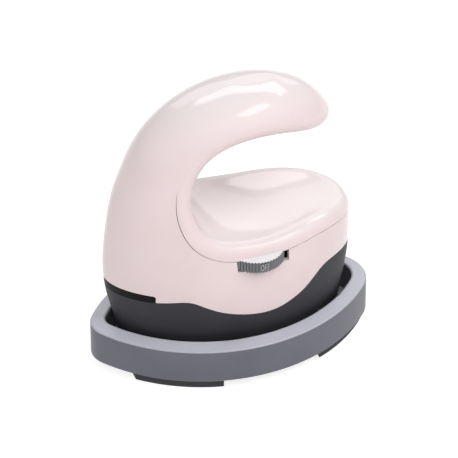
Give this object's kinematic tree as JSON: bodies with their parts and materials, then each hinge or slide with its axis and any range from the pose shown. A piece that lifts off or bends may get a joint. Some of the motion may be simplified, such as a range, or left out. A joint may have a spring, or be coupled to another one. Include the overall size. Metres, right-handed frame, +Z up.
{
  "type": "mini heat press with safety base",
  "caption": "Small egg shaped heat press with an open loop handle and a side dial, standing in a pointed oval safety base with rubber feet.",
  "frame": {"origin": "on the table, under the middle of the safety base", "axes": "+X from the column end to the open end of the handle, -Y the side with the dial, +Z up"},
  "size_m": [0.1216, 0.0748, 0.1258],
  "materials": {
    "tray": "satin moulded plastic",
    "foot": "matt rubber",
    "base_cover": "matt moulded plastic",
    "screw_steel": "plain steel",
    "pad": "heat proof silicone",
    "plate": "smooth cast plate",
    "element": "drawn tube",
    "sensor": "ceramic",
    "fuse": "plain metal can",
    "mica": "pressed mica",
    "shield": "plain sheet",
    "skirt": "fine matt heat proof plastic",
    "bush": "matt rubber",
    "shell": "glossy pale pink",
    "trim": "satin black",
    "circuit": "green board",
    "black_parts": "matt moulded plastic",
    "dial": "knurled and plated",
    "shaft": "turned steel"
  },
  "bodies": {
    "safety_base": {"base_tray": "tray", "base_cover": "base_cover", "foot_near": "foot", "foot_far": "foot", "foot_end": "foot", "heat_pad": "pad", "base_screw_1": "screw_steel", "base_screw_2": "screw_steel", "base_screw_3": "screw_steel", "base_screw_4": "screw_steel"},
    "press": {"plate_screw_1": "screw_steel", "plate_screw_2": "screw_steel", "plate_screw_3": "screw_steel", "plate_screw_4": "screw_steel", "shell_screw_1": "screw_steel", "shell_screw_2": "screw_steel", "shell_screw_3": "screw_steel", "board_screw_1": "screw_steel", "board_screw_2": "screw_steel", "board_screw_3": "screw_steel", "board_screw_4": "screw_steel", "heating_plate": "plate", "heating_element": "element", "element_strap_1": "element", "element_strap_2": "element", "temperature_sensor": "sensor", "thermal_fuse": "fuse", "insulation_board": "mica", "heat_shield": "shield", "skirt": "skirt", "cord_bush": "bush", "outer_shell": "shell", "inner_cover": "shell", "rear_trim": "trim", "circuit_board": "circuit", "power_module": "black_parts", "terminal_block": "black_parts", "switch_body": "black_parts"},
    "dial": {"dial_wheel": "dial", "dial_shaft": "shaft"}
  },
  "joints": [
    {"name": "press_lift", "type": "slide", "parent": "safety_base", "child": "press", "axis": [0, 0, 1], "range_m": [0, 0.03]},
    {"name": "dial_turn", "type": "hinge", "parent": "press", "child": "dial", "pos_m": [0.0034, -0.0223, 0.0562], "axis": [0, 0, 1], "range_deg": [0, 105]}
  ]
}
